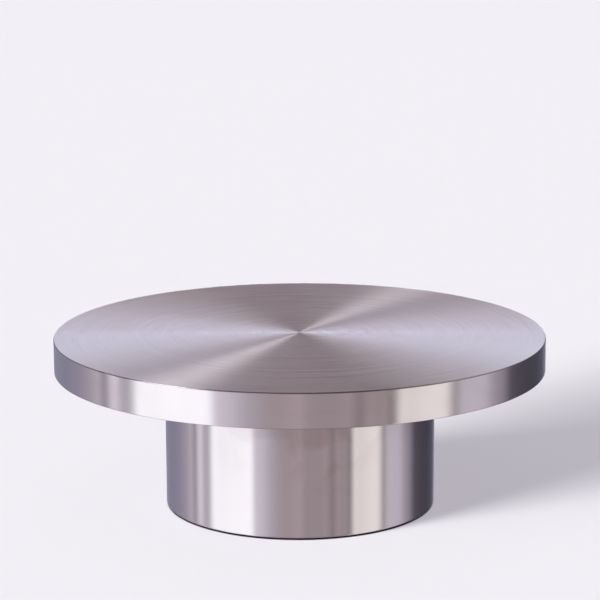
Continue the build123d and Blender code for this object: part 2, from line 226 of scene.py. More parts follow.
def metalHeight(tree, look, streaks, grainShare, level):
    broad = calc(tree, "MULTIPLY", streaks["broad"], grainMarks["broadHeight"])
    height = calc(tree, "MULTIPLY", calc(tree, "ADD", streaks["fine"], broad), grainShare)
    patchy = remap(tree, streaks["bands"], *grainMarks["ripplePatches"], grainMarks["leastRipple"], 1.0)
    swell = calc(tree, "MULTIPLY", calc(tree, "SUBTRACT", streaks["ripples"], 0.5), patchy)
    swell = calc(tree, "MULTIPLY", swell, calc(tree, "MULTIPLY", level, look["rippleHeight"]))
    return calc(tree, "ADD", height, swell)


def pointTangent(tree, shader, along):
    # The tangent is wanted in the world's axes, also while the piece turns.
    turn = tree.nodes.new("ShaderNodeVectorTransform")
    turn.vector_type = "VECTOR"
    turn.convert_from = "OBJECT"
    turn.convert_to = "WORLD"
    feed(tree, along, turn.inputs["Vector"])
    tree.links.new(turn.outputs["Vector"], shader.inputs["Tangent"])


def grainedMetal(name, look):
    # Walls are polished finer than faces are, and show less of the grain and more of the smudges.
    material, tree, shader = startMaterial(name)
    place, along = roundGrain(tree) if look["grain"] == "round" else straightGrain(tree)
    streaks = {}
    for layer in ("fine", "broad", "bands", "ripples"):
        length, density = look[layer]
        streaks[layer] = noise(tree, place, (length, length, density), detail=3.0)
    smudges = noise(tree, objectPlace(tree), (look["smudges"],) * 3, detail=2.0, distortion=0.6)
    level = calc(tree, "ABSOLUTE", upShare(tree))
    grainShare = remap(tree, level, 0.0, 1.0, look["wallGrain"], 1.0)
    smudgeShare = remap(tree, level, 0.0, 1.0, look["smudgeAmount"], look["faceSmudges"])
    colour = metalColour(tree, look, streaks, smudges, grainShare, smudgeShare)
    tree.links.new(colour, shader.inputs["Base Color"])
    shader.inputs["Metallic"].default_value = 1.0
    roughness = metalRoughness(tree, look, streaks, smudges, grainShare, level)
    tree.links.new(roughness, shader.inputs["Roughness"])
    shader.inputs["Anisotropic"].default_value = look["anisotropy"]
    shader.inputs["Anisotropic Rotation"].default_value = 0.25  # the gloss stretches across the grain
    pointTangent(tree, shader, along)
    height = metalHeight(tree, look, streaks, grainShare, level)
    raiseBumps(tree, shader, height, look["bumpStrength"], look["bumpDepth"])
    return material


evenSpread = (0.3, 0.7)  # most of a noise lies between these


def speckledSolid(name, look):
    material, tree, shader = startMaterial(name)
    place = objectPlace(tree)
    pores = noise(tree, place, (look["pores"],) * 3, detail=3.0)
    mottle = noise(tree, place, (look["mottle"],) * 3, detail=2.0, distortion=0.4)
    colour = mixColours(tree, remap(tree, mottle, *evenSpread), look["darkTone"], look["tone"])
    specks = remap(tree, pores, *look["speckEdge"], 0.0, look["speckAmount"])
    colour = mixColours(tree, specks, colour, look["speckTone"])
    tree.links.new(colour, shader.inputs["Base Color"])
    shader.inputs["Metallic"].default_value = look["metallic"]
    tree.links.new(remap(tree, pores, *evenSpread, *look["roughness"]), shader.inputs["Roughness"])
    height = calc(tree, "ADD", pores, calc(tree, "MULTIPLY", mottle, look["mottleHeight"]))
    raiseBumps(tree, shader, height, look["bumpStrength"], look["bumpDepth"])
    return material


def pressedBoard(name, look):
    # Layers of fibre show on the edge, and flakes on the faces.
    material, tree, shader = startMaterial(name)
    place = objectPlace(tree)
    layers = noise(tree, place, (look["fibre"], look["fibre"], look["layers"]), detail=4.0)
    flakes = tree.nodes.new("ShaderNodeTexVoronoi")
    feed(tree, calcVector(tree, "MULTIPLY", place, look["flakeStretch"]), flakes.inputs["Vector"])
    flakes.inputs["Scale"].default_value = look["flakes"]
    shade = splitPlace(tree, flakes.outputs["Color"])[0]
    colour = mixColours(tree, remap(tree, layers, *evenSpread), look["darkTone"], look["tone"])
    pale = remap(tree, shade, look["flakeFrom"], 1.0, 0.0, look["flakeAmount"])
    colour = mixColours(tree, pale, colour, look["flakeTone"])
    tree.links.new(colour, shader.inputs["Base Color"])
    tree.links.new(remap(tree, layers, *evenSpread, *look["roughness"]), shader.inputs["Roughness"])
    height = calc(tree, "ADD", layers, calc(tree, "MULTIPLY", shade, look["flakeHeight"]))
    raiseBumps(tree, shader, height, look["bumpStrength"], look["bumpDepth"])
    return material


def shadeOf(red, green, blue):
    return (red, green, blue, 1.0)


# A grain layer is how often it changes round the axis, and across the grain in each metre.
brushedSteel = {
    "grain": "round",
    "tone": shadeOf(0.60, 0.555, 0.565),
    "darkTone": shadeOf(0.59, 0.545, 0.552),
    "coolTone": shadeOf(0.60, 0.56, 0.59),
    "tintAmount": 0.5,
    "warmTone": shadeOf(0.49, 0.42, 0.41),
    # Painted shade along the rounded upper edge: its colour and how much of it.
    "paintedEdgeShadeTone": shadeOf(0.12, 0.105, 0.11),
    "paintedEdgeShadeAmount": 0.0,
    "smudges": 46.0,
    "smudgeAmount": 0.12,
    "faceSmudges": 0.12,
    "patches": 13.0,
    "patchPlace": (0.35, 0.55, 0.8),
    "smudgeRoughness": 0.02,
    "fine": (5.0, 2600.0),
    "broad": (2.2, 520.0),
    "bands": (0.7, 60.0),
    "ripples": (1.6, 210.0),
    "rippleHeight": 210.0,
    "wallGrain": 0.12,
    "wallPolish": 0.10,
    "roughness": (0.28, 0.34),
    "anisotropy": 1.0,
    "bumpStrength": 1.0,
    "bumpDepth": 0.003 * mm,
}
drumSteel = dict(brushedSteel, smudgeAmount=0.6)
# The pan's top edge gets the painted dark line of shade.
panSteel = dict(brushedSteel, paintedEdgeShadeAmount=0.62)
rolledSheet = dict(
    brushedSteel,
    grain="straight",
    tone=shadeOf(0.52, 0.5, 0.51),
    darkTone=shadeOf(0.43, 0.41, 0.42),
    roughness=(0.32, 0.42),
    anisotropy=0.8,
    faceSmudges=0.4,
    rippleHeight=10.0,
)
mildSteel = dict(
    rolledSheet,
    tone=shadeOf(0.42, 0.42, 0.44),
    darkTone=shadeOf(0.3, 0.3, 0.33),
    coolTone=shadeOf(0.4, 0.42, 0.5),
    smudges=60.0,
    smudgeAmount=0.6,
    anisotropy=0.4,
    roughness=(0.36, 0.5),
)
turnedSteel = dict(
    brushedSteel,
    tone=shadeOf(0.6, 0.6, 0.62),
    darkTone=shadeOf(0.5, 0.5, 0.52),
    fine=(1.5, 5200.0),
    broad=(0.6, 2400.0),
    bumpDepth=0.006 * mm,
    roughness=(0.2, 0.3),
    faceSmudges=0.3,
    rippleHeight=0.0,
    wallGrain=1.0,
    wallPolish=0.0,
)
turnedAlloy = dict(
    turnedSteel,
    tone=shadeOf(0.72, 0.72, 0.74),
    darkTone=shadeOf(0.64, 0.64, 0.66),
    coolTone=shadeOf(0.7, 0.72, 0.76),
    roughness=(0.26, 0.36),
)
groundSteel = dict(
    turnedSteel,
    tone=shadeOf(0.72, 0.72, 0.74),
    darkTone=shadeOf(0.66, 0.66, 0.69),
    bumpDepth=0.0012 * mm,
    roughness=(0.09, 0.15),
    anisotropy=0.6,
)
springSteel = dict(
    turnedSteel,
    tone=shadeOf(0.2, 0.2, 0.22),
    darkTone=shadeOf(0.12, 0.12, 0.14),
    coolTone=shadeOf(0.14, 0.16, 0.26),
    warmTone=shadeOf(0.26, 0.2, 0.15),
    smudges=140.0,
)
screwSteel = dict(
    mildSteel,
    tone=shadeOf(0.56, 0.56, 0.57),
    darkTone=shadeOf(0.46, 0.46, 0.48),
    smudges=420.0,
    roughness=(0.22, 0.34),
)
coatedSteel = {
    "tone": shadeOf(0.1, 0.1, 0.108),
    "darkTone": shadeOf(0.064, 0.064, 0.07),
    "speckTone": shadeOf(0.2, 0.2, 0.21),
    "speckAmount": 0.6,
    "speckEdge": (0.58, 0.68),
    "pores": 850.0,
    "mottle": 70.0,
    "mottleHeight": 0.3,
    "metallic": 0.0,
    "roughness": (0.45, 0.62),
    "bumpStrength": 0.6,
    "bumpDepth": 0.12 * mm,
}
footRubber = dict(
    coatedSteel,
    tone=shadeOf(0.05, 0.05, 0.053),
    darkTone=shadeOf(0.036, 0.036, 0.039),
    speckTone=shadeOf(0.1, 0.098, 0.095),
    speckAmount=0.45,
    pores=1800.0,
    mottle=160.0,
    roughness=(0.68, 0.85),
    bumpDepth=0.05 * mm,
)
sealRubber = dict(
    footRubber,
    tone=shadeOf(0.11, 0.062, 0.05),
    darkTone=shadeOf(0.08, 0.046, 0.038),
    roughness=(0.5, 0.66),
)
capPlastic = dict(
    footRubber,
    tone=shadeOf(0.062, 0.062, 0.068),
    darkTone=shadeOf(0.05, 0.05, 0.055),
    roughness=(0.38, 0.5),
    mottle=90.0,
)
cageNylon = dict(
    footRubber,
    tone=shadeOf(0.72, 0.68, 0.56),
    darkTone=shadeOf(0.66, 0.61, 0.48),
    speckTone=shadeOf(0.78, 0.75, 0.66),
    roughness=(0.4, 0.52),
)
board = {
    "tone": shadeOf(0.56, 0.4, 0.25),
    "darkTone": shadeOf(0.44, 0.3, 0.17),
    "flakeTone": shadeOf(0.7, 0.55, 0.37),
    "fibre": 130.0,
    "layers": 900.0,
    "flakes": 260.0,
    "flakeStretch": (1.0, 0.45, 1.6),
    "flakeFrom": 0.55,
    "flakeAmount": 0.55,
    "flakeHeight": 0.5,
    "roughness": (0.7, 0.88),
    "bumpStrength": 0.4,
    "bumpDepth": 0.12 * mm,
}
finishes = {
    "brushed_sheet": grainedMetal("panSteel", panSteel),
    "brushed_drum": grainedMetal("drumSteel", drumSteel),
    "plain_sheet": grainedMetal("rolledSheet", rolledSheet),
    "mild_steel": grainedMetal("mildSteel", mildSteel),
    "turned_steel": grainedMetal("turnedSteel", turnedSteel),
    "housing_alloy": grainedMetal("turnedAlloy", turnedAlloy),
    "bearing_steel": grainedMetal("groundSteel", groundSteel),
    "spring_steel": grainedMetal("springSteel", springSteel),
    "screw_steel": grainedMetal("screwSteel", screwSteel),
    "coated_steel": speckledSolid("coatedSteel", coatedSteel),
    "foot_rubber": speckledSolid("footRubber", footRubber),
    "seal_rubber": speckledSolid("sealRubber", sealRubber),
    "cap_plastic": speckledSolid("capPlastic", capPlastic),
    "cage_nylon": speckledSolid("cageNylon", cageNylon),
    "board": pressedBoard("pressedBoard", board),
}
print("finishes made:", len(finishes))

# Every piece that stays as built takes the finish of its own slot.
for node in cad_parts.values():
    for place in node.material_slots:
        place.material = finishes[place.material.name]
print("finishes set on the built pieces")


def openTree(name, sizes):
    tree = bpy.data.node_groups.new(name, "GeometryNodeTree")
    for label, kind in sizes.items():
        tree.interface.new_socket(name=label, in_out="INPUT", socket_type="NodeSocket" + kind)
    tree.interface.new_socket(name="Geometry", in_out="OUTPUT", socket_type="NodeSocketGeometry")
    return tree, tree.nodes.new("NodeGroupInput").outputs


def chain(tree, kind, sources=(), **settings):
    # One node, with its inputs fed by name, or by number where names repeat.
    node = tree.nodes.new(kind)
    for name, value in settings.items():
        setattr(node, name, value)
    for key, source in dict(sources).items():
        feed(tree, source, node.inputs[key])
    return node


def closeTree(tree, geometry, material):
    dressed = chain(tree, "GeometryNodeSetMaterial", {"Geometry": geometry, "Material": material})
    end = tree.nodes.new("NodeGroupOutput")
    tree.links.new(dressed.outputs["Geometry"], end.inputs["Geometry"])


def turnedTree():
    # Turns a half section round the Z axis. Each point's radius is how far its corner is rounded.
    tree, given = openTree(
        "turnedShape",
        {"Section": "Object", "Steps Round": "Int", "Corner Steps": "Int", "Finish": "Material"},
    )
    spin = 0.1  # radius of the circle that the section is swept along, taken off again here
    seamReach = 0.002 * mm  # points nearer to each other than this become one
    section = chain(tree, "GeometryNodeObjectInfo", {"Object": given["Section"]})
    corner = tree.nodes.new("GeometryNodeInputRadius")
    rounded = chain(
        tree,
        "GeometryNodeFilletCurve",
        {
            "Curve": section.outputs["Geometry"],
            "Count": given["Corner Steps"],
            "Radius": corner.outputs["Radius"],
        },
        mode="POLY",
    )
    moved = chain(
        tree,
        "GeometryNodeTransform",
        {"Geometry": rounded.outputs["Curve"], "Translation": (-spin, 0, 0), "Scale": (1, -1, 1)},
    )
    circle = chain(
        tree,
        "GeometryNodeCurvePrimitiveCircle",
        {"Resolution": given["Steps Round"], "Radius": spin},
    )
    swept = chain(
        tree,
        "GeometryNodeCurveToMesh",
        {"Curve": circle.outputs["Curve"], "Profile Curve": moved.outputs["Geometry"]},
    )
    closed = chain(
        tree,
        "GeometryNodeMergeByDistance",
        {"Geometry": swept.outputs["Mesh"], "Distance": seamReach},
    )
    smooth = chain(tree, "GeometryNodeSetShadeSmooth", {"Geometry": closed.outputs["Geometry"]})
    closeTree(tree, smooth.outputs["Geometry"], given["Finish"])
    return tree


def ringTree():
    # Sets copies of one piece on a level circle, facing up or down, each at its own chance turn.
    tree, given = openTree(
        "ringOfPieces",
        {
            "Piece": "Object",
            "Count": "Int",
            "Circle Radius": "Float",
            "Height": "Float",
            "First Angle": "Float",
            "Facing": "Vector",
            "Seed": "Int",
            "Finish": "Material",
        },
    )
    circle = chain(
        tree,
        "GeometryNodeMeshCircle",
        {"Vertices": given["Count"], "Radius": given["Circle Radius"]},
    )
    lift = chain(tree, "ShaderNodeCombineXYZ", {"Z": given["Height"]})
    turn = chain(tree, "ShaderNodeCombineXYZ", {"Z": given["First Angle"]})
    moved = chain(
        tree,
        "GeometryNodeTransform",
        {
            "Geometry": circle.outputs["Mesh"],
            "Translation": lift.outputs["Vector"],
            "Rotation": turn.outputs["Vector"],
        },
    )
    chance = chain(
        tree,
        "FunctionNodeRandomValue",
        {2: 0.0, 3: math.tau, "Seed": given["Seed"]},
    )
    own = chain(tree, "ShaderNodeCombineXYZ", {"Z": chance.outputs[1]})
    facing = chain(
        tree,
        "ShaderNodeVectorMath",
        {0: own.outputs["Vector"], 1: given["Facing"]},
        operation="ADD",
    )
    piece = chain(tree, "GeometryNodeObjectInfo", {"Object": given["Piece"]})
    placed = chain(
        tree,
        "GeometryNodeInstanceOnPoints",
        {
            "Points": moved.outputs["Geometry"],
            "Instance": piece.outputs["Geometry"],
            "Rotation": facing.outputs["Vector"],
        },
    )
    real = chain(tree, "GeometryNodeRealizeInstances", {"Geometry": placed.outputs["Instances"]})
    closeTree(tree, real.outputs["Geometry"], given["Finish"])
    return tree


def addObject(name, data):
    thing = bpy.data.objects.new(name, data)
    bpy.context.scene.collection.objects.link(thing)
    return thing


def growMesh(name, tree, values):
    # Runs a tree once and keeps its result as a plain mesh, outside faces out.
    host = addObject(name + "Host", bpy.data.meshes.new(name + "Host"))
    modifier = host.modifiers.new("shape", "NODES")
    modifier.node_group = tree
    for item in tree.interface.items_tree:
        if item.name in values:
            modifier[item.identifier] = values[item.name]
    bpy.context.view_layer.update()
    grown = host.evaluated_get(bpy.context.evaluated_depsgraph_get())
    mesh = bpy.data.meshes.new_from_object(grown)
    mesh.name = name
    host.modifiers.clear()
    bpy.data.objects.remove(host)
    shape = bmesh.new()
    shape.from_mesh(mesh)
    bmesh.ops.recalc_face_normals(shape, faces=shape.faces)
    shape.to_mesh(mesh)
    shape.free()
    return mesh


guardShare = 1.6  # of the rounding


def drawSection(corners, closed):
    # A half section from corners of (radius, height, rounding). Two more points beside each rounded
    # corner keep the flats flat where the shading is smooth.
    points = []
    for number, (x, z, rounding) in enumerate(corners):
        here = Vector((x, z, 0))
        if rounding:
            before = Vector((*corners[number - 1][:2], 0))
            after = Vector((*corners[(number + 1) % len(corners)][:2], 0))
            guard = guardShare * rounding
            points.append((here + guard * (before - here).normalized(), 0.0))
            points.append((here, rounding))
            points.append((here + guard * (after - here).normalized(), 0.0))
        else:
            points.append((here, 0.0))
    curve = bpy.data.curves.new("section", "CURVE")
    curve.dimensions = "3D"
    line = curve.splines.new("POLY")
    line.points.add(len(points) - 1)
    line.use_cyclic_u = closed
    for point, (place, rounding) in zip(line.points, points):
        point.co = (*place, 1.0)
        point.radius = rounding
    return addObject("section", curve)


turned = turnedTree()
ring = ringTree()


def turnMesh(name, corners, finish, closed=False, stepsRound=384, cornerSteps=5):
    section = drawSection(corners, closed)
    values = {
        "Section": section,
        "Steps Round": stepsRound,
        "Corner Steps": cornerSteps,
        "Finish": finishes[finish],
    }
    mesh = growMesh(name, turned, values)
    bpy.data.objects.remove(section)
    return mesh


def standFor(piece, body, slot, *nodes):
    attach(piece, body)
    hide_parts(*nodes)


# The pan is one sheet, spun over its edge into a straight rim.
pan = {"edge": 0.8 * mm, "inner": 0.5 * mm, "lip": 0.45 * mm}
rimLow, panTop, panRadius = measure("top_pan")
sheet = panTop - measure("core_board")[1]
panInside = panRadius - sheet
panCorners = [
    (0, panTop, 0),
    (panRadius, panTop, pan["edge"]),
    (panRadius, rimLow, pan["lip"]),
    (panInside, rimLow, pan["lip"]),
    (panInside, panTop - sheet, pan["inner"]),
    (0, panTop - sheet, 0),
]
panPiece = addObject("topPan", turnMesh("topPan", panCorners, "brushed_sheet"))
standFor(panPiece, "turntable", "brushed_sheet", "top_pan")
print("pan turned")

# The drum is a cut length of tube with its edges just broken.
drum = {"edge": 0.6 * mm}
drumLow, drumTop, drumRadius = measure("drum_shell")
drumInside = measure("deck_plate")[2]
drumCorners = [
    (drumRadius, drumLow, drum["edge"]),
    (drumRadius, drumTop, drum["edge"]),
    (drumInside, drumTop, drum["edge"]),
    (drumInside, drumLow, drum["edge"]),
]
drumPiece = addObject(
    "drumTube",
    turnMesh("drumTube", drumCorners, "brushed_drum", closed=True, cornerSteps=3),
)
standFor(drumPiece, "base", "brushed_sheet", "drum_shell")
print("drum turned")

# The screws have socket heads and cut threads, and are set in rings.
screwMaking = {
    "sides": 48,
    "headEdge": 0.12 * mm,
    "countersunkRim": ((2.0, 0.0), (1.2, 0.4), (1.6, 1.6)),  # how far in and down, in head edges
    "bevelSteps": 3,  # of a pan head's upper edge
    "threadDepth": 0.3,  # share of the pitch
    "threadRunout": 0.4,  # share of the pitch that stays plain under the head
    "rowsPerTurn": 5,
    "socketDepth": 0.75,  # share of the head's height
    "socketMouth": 0.62,  # radius, as a share of the width across the socket's flats
    "pitRadius": 0.3,  # the same, for the drill's pit in the socket's floor
    "pitDepth": 0.15 * mm,
    "tipBevel": 0.12,  # share of the diameter
    "tipInset": 0.1 * mm,
    "sharpAngle": 35.0,
}
screwSizes = {
    "small": {"diameter": 4 * mm, "headDiameter": 8 * mm, "socket": 2.5 * mm, "pitch": 0.7 * mm},
    "middle": {"diameter": 5 * mm, "headDiameter": 10 * mm, "socket": 3 * mm, "pitch": 0.8 * mm},
    "large": {"diameter": 6 * mm, "headDiameter": 12 * mm, "socket": 4 * mm, "pitch": 1.0 * mm},
}


def skinRings(name, rings):
    # Faces between rings of as many points, with a fan over each end.
    shape = bmesh.new()
    rows = [[shape.verts.new(point) for point in loop] for loop in rings]
    for upper, lower in zip(rows, rows[1:]):
        for number in range(len(upper)):
            after = (number + 1) % len(upper)
            shape.faces.new((upper[number], upper[after], lower[after], lower[number]))
    for row in (rows[0], rows[-1]):
        middle = shape.verts.new(sum((vert.co for vert in row), Vector()) / len(row))
        for number in range(len(row)):
            shape.faces.new((middle, row[number], row[(number + 1) % len(row)]))
    bmesh.ops.recalc_face_normals(shape, faces=shape.faces)
    mesh = bpy.data.meshes.new(name)
    shape.to_mesh(mesh)
    shape.free()
    mesh.set_sharp_from_angle(angle=math.radians(screwMaking["sharpAngle"]))
    return mesh


def roundLoop(sizes, height):
    # Points round the axis, each as far out as its size.
    loop = []
    for number, size in enumerate(sizes):
        angle = math.tau * number / len(sizes)
        loop.append((size * math.cos(angle), size * math.sin(angle), height))
    return loop


def socketRings(size, headDepth):
    sides = screwMaking["sides"]
    flats = size["socket"]
    depth = screwMaking["socketDepth"] * headDepth
    hexagon = []
    for number in range(sides):
        angle = math.tau * number / sides
        hexagon.append(flats / 2 / math.cos(angle % (math.pi / 3) - math.pi / 6))
    return [
        roundLoop([flats * screwMaking["pitRadius"]] * sides, -depth - screwMaking["pitDepth"]),
        roundLoop(hexagon, -depth),
        roundLoop(hexagon, -screwMaking["headEdge"]),
        roundLoop([flats * screwMaking["socketMouth"]] * sides, 0),
    ]


def headRings(size, look, headDepth):
    # A countersunk head narrows at once, a pan head keeps its full width.
    sides = screwMaking["sides"]
    edge = screwMaking["headEdge"]
    wide = size["headDiameter"] / 2
    outline = []
    if look["headHeight"]:
        bevel = headDepth / 2
        for step in range(screwMaking["bevelSteps"] + 1):
            angle = math.pi / 2 * step / screwMaking["bevelSteps"]
            outline.append((wide - bevel * (1 - math.sin(angle)), bevel * (math.cos(angle) - 1)))
        outline.append((wide, edge - headDepth))
        outline.append((wide - edge, -headDepth))
    else:
        for inward, down in screwMaking["countersunkRim"]:
            outline.append((wide - inward * edge, -down * edge))
    outline.append((size["diameter"] / 2, -headDepth))
    return [roundLoop([radius] * sides, height) for radius, height in outline]


def shankRings(size, length, headDepth):
    # The thread's crest climbs one pitch in each turn round the shank.
    sides = screwMaking["sides"]
    radius = size["diameter"] / 2
    pitch = size["pitch"]
    depth = screwMaking["threadDepth"] * pitch
    bevel = screwMaking["tipBevel"] * size["diameter"]
    top = -headDepth - screwMaking["threadRunout"] * pitch
    bottom = bevel - length
    rows = int((top - bottom) / pitch * screwMaking["rowsPerTurn"])
    rings = [roundLoop([radius] * sides, top)]
    for row in range(1, rows):
        height = top - (top - bottom) * row / rows
        waves = [abs((height / pitch - number / sides) % 1.0 - 0.5) * 2 for number in range(sides)]
        rings.append(roundLoop([radius - depth * wave for wave in waves], height))
    rings.append(roundLoop([radius - depth] * sides, bottom))
    rings.append(roundLoop([radius - bevel - screwMaking["tipInset"]] * sides, -length))
    return rings


def makeScrew(look, length):
    # Head's face on Z 0, tip below.
    size = screwSizes[look["size"]]
    headDepth = look["headHeight"] or (size["headDiameter"] - size["diameter"]) / 2
    rings = socketRings(size, headDepth)
    rings += headRings(size, look, headDepth)
    rings += shankRings(size, length, headDepth)
    return skinRings("screw", rings)


faceDown = (math.pi, 0.0, 0.0)
faceUp = (0.0, 0.0, 0.0)
screwRings = {
    "undersideScrews": {
        "node": "underside_screws",
        "body": "turntable",
        "size": "small",
        "count": 8,
        "firstAngle": 0,
        "facing": faceDown,
        "headHeight": 0,
        "seed": 3,
    },
    "hubScrews": {
        "node": "hub_screws",
        "body": "turntable",
        "size": "middle",
        "count": 6,
        "firstAngle": 0,
        "facing": faceDown,
        "headHeight": 0,
        "seed": 5,
    },
    "housingScrews": {
        "node": "housing_screws",
        "body": "base",
        "size": "middle",
        "count": 6,
        "firstAngle": 0,
        "facing": faceUp,
        "headHeight": 0,
        "seed": 8,
    },
    "deckScrews": {
        "node": "deck_screws",
        "body": "base",
        "size": "large",
        "count": 4,
        "firstAngle": 45,
        "facing": faceUp,
        "headHeight": 0,
        "seed": 13,
    },
    "baseScrews": {
        "node": "base_screws",
        "body": "base",
        "size": "large",
        "count": 4,
        "firstAngle": 45,
        "facing": faceDown,
        "headHeight": 0,
        "seed": 21,
    },
    "footScrews": {
        "node": "foot_screws",
        "body": "base",
        "size": "small",
        "count": 4,
        "firstAngle": 0,
        "facing": faceDown,
        "headHeight": 1.6 * mm,
        "seed": 34,
    },
}


def setRing(name, look, mesh, reach, height, finish):
    # The circle is found from the node's box: its furthest piece reaches so far from its own middle.
    source = addObject(mesh.name, mesh)
    firstAngle = math.radians(look["firstAngle"])
    circle = (measure(look["node"])[2] - reach) / math.cos(firstAngle)
    values = {
        "Piece": source,
        "Count": look["count"],
        "Circle Radius": circle,
        "Height": height,
        "First Angle": firstAngle,
        "Facing": look["facing"],
        "Seed": look["seed"],
        "Finish": finishes[finish],
    }
    piece = addObject(name, growMesh(name, ring, values))
    bpy.data.objects.remove(source)
    standFor(piece, look["body"], finish, look["node"])


for name, look in screwRings.items():
    low, high = measure(look["node"])[:2]
    headReach = screwSizes[look["size"]]["headDiameter"] / 2
    headLevel = low if look["facing"] == faceDown else high
    setRing(name, look, makeScrew(look, high - low), headReach, headLevel, "screw_steel")
print("screws set:", sum(look["count"] for look in screwRings.values()))

# The feet are moulded rubber, grooved under the sole.
feet = {
    "node": "rubber_feet",
    "body": "base",
    "count": 4,
    "firstAngle": 0,
    "facing": faceUp,
    "seed": 55,
    "radius": 12 * mm,
    "recess": 5 * mm,
    "bore": 2.25 * mm,
    "edge": 0.5 * mm,
    "recessEdge": 0.2 * mm,
    "grooves": 3,
    "grooveWidth": 0.6 * mm,
    "grooveDepth": 0.35 * mm,
    "sharpAngle": 40.0,
}


def footSection(height, seat):
    corners = [
        (feet["bore"], seat, 0),
        (feet["recess"], seat, 0),
        (feet["recess"], 0, feet["recessEdge"]),
    ]
    spacing = (feet["radius"] - feet["recess"]) / (feet["grooves"] + 1)
    for number in range(1, feet["grooves"] + 1):
        middle = feet["recess"] + number * spacing
        for side, depth in ((-1, 0), (-1, 1), (1, 1), (1, 0)):
            x = middle + side * feet["grooveWidth"] / 2
            corners.append((x, depth * feet["grooveDepth"], 0))
    corners.append((feet["radius"], 0, feet["edge"]))
    corners.append((feet["radius"], height, 0))
    corners.append((feet["bore"], height, 0))
    return corners


footLow, footTop = measure("rubber_feet")[:2]
footSeat = measure("foot_screws")[0] + screwRings["footScrews"]["headHeight"]
footMesh = turnMesh(
    "foot",
    footSection(footTop, footSeat),
    "foot_rubber",
    closed=True,
    stepsRound=96,
    cornerSteps=4,
)
footMesh.set_sharp_from_angle(angle=math.radians(feet["sharpAngle"]))
setRing("rubberFeet", feet, footMesh, feet["radius"], footLow, "foot_rubber")
print("feet set:", feet["count"])


def towards(azimuth, elevation):
    # Azimuth 0 is the camera's side, and grows to the right.
    a = math.radians(azimuth)
    e = math.radians(elevation)
    return Vector((math.sin(a) * math.cos(e), -math.cos(a) * math.cos(e), math.sin(e)))


camera = {
    "lens": 136.0,
    "sensor": 36.0,
    "sight": 60.0,
    "side": 0.3 * mm,
    "distance": 1.376,
    "height": 0.4215,
    "pitch": 12.02,
    "roll": -0.22,
}


def placeCamera(look):
    data = bpy.data.cameras.new("camera")
    data.lens = look["lens"]
    data.sensor_width = look["sensor"]
    data.clip_end = look["sight"]
    stand = addObject("camera", data)
    tilt = Euler((math.radians(90 - look["pitch"]), 0, 0)).to_matrix()
    roll = Euler((0, 0, math.radians(look["roll"]))).to_matrix()
    place = Vector((look["side"], -look["distance"], look["height"]))
    stand.matrix_world = Matrix.LocRotScale(place, (tilt @ roll).to_quaternion(), None)
    bpy.context.scene.camera = stand


placeCamera(camera)

# Seen straight on, part of the paper's white is its own, so the shadow on it stays light.
floorLook = {
    "size": 14.0,
    "gap": 0.1 * mm,
    "colour": shadeOf(0.48, 0.472, 0.48),
    "fleck": shadeOf(0.472, 0.464, 0.474),
    "fibres": 70.0,
    "seenColour": shadeOf(0.25, 0.25, 0.248),
    "seenFleck": shadeOf(0.244, 0.244, 0.242),
    "ownWhite": shadeOf(0.412, 0.389, 0.442),
    # Painted contact shade: seen straight on, the paper is painted near black and loses its own white where
    # the object closes over it within this reach.
    "paintedContactShadeReach": 4.0 * mm,
    "paintedContactShadeOpen": (0.35, 0.6),  # how open a spot is where it reads black, and where it reads clear
    "paintedContactShadeColour": shadeOf(0.01, 0.009, 0.011),
}


def makeFloor(look):
    shape = bmesh.new()
    half = look["size"] / 2
    corners = [(-half, -half), (half, -half), (half, half), (-half, half)]
    level = cadBounds[0].z - look["gap"]
    shape.faces.new([shape.verts.new((x, y, level)) for x, y in corners])
    mesh = bpy.data.meshes.new("paperFloor")
    shape.to_mesh(mesh)
    shape.free()
    material, tree, shader = startMaterial("studioPaper")
    fibres = noise(tree, objectPlace(tree), (look["fibres"],) * 3, detail=3.0)
    straight = tree.nodes.new("ShaderNodeLightPath").outputs["Is Camera Ray"]
    colour = mixColours(tree, fibres, look["colour"], look["fleck"])
    seenColour = mixColours(tree, fibres, look["seenColour"], look["seenFleck"])
    # Painted contact shade under and round the object's foot, from how open each spot is.
    contactShadeNode = tree.nodes.new("ShaderNodeAmbientOcclusion")
    contactShadeNode.inputs["Distance"].default_value = look["paintedContactShadeReach"]
    clear = remap(tree, contactShadeNode.outputs["AO"], *look["paintedContactShadeOpen"])
    seenColour = mixColours(tree, clear, look["paintedContactShadeColour"], seenColour)
    tree.links.new(mixColours(tree, straight, colour, seenColour), shader.inputs["Base Color"])
    shader.inputs["Emission Color"].default_value = look["ownWhite"]
    tree.links.new(calc(tree, "MULTIPLY", straight, clear), shader.inputs["Emission Strength"])
    shader.inputs["Roughness"].default_value = 1.0
    shader.inputs["Specular IOR Level"].default_value = 0.0
    # From below the paper isn't there, so the underside can be looked at.
    mixed = tree.nodes.new("ShaderNodeMixShader")
    tree.links.new(tree.nodes.new("ShaderNodeNewGeometry").outputs["Backfacing"], mixed.inputs[0])
    tree.links.new(shader.outputs["BSDF"], mixed.inputs[1])
    tree.links.new(tree.nodes.new("ShaderNodeBsdfTransparent").outputs["BSDF"], mixed.inputs[2])
    tree.links.new(mixed.outputs["Shader"], tree.nodes["Material Output"].inputs["Surface"])
    mesh.materials.append(material)
    paper = addObject("paperFloor", mesh)
    paper.visible_glossy = False


makeFloor(floorLook)

# Only the metal sees it. Azimuth, elevation and distance are those of its middle.
keySoftbox = {
    "azimuth": -67.0,
    "elevation": 42.0,
    "distance": 1.15,
    "size": (0.43, 0.62),
    "glow": 6.3,
    "colour": (1.0, 0.985, 1.0),
}


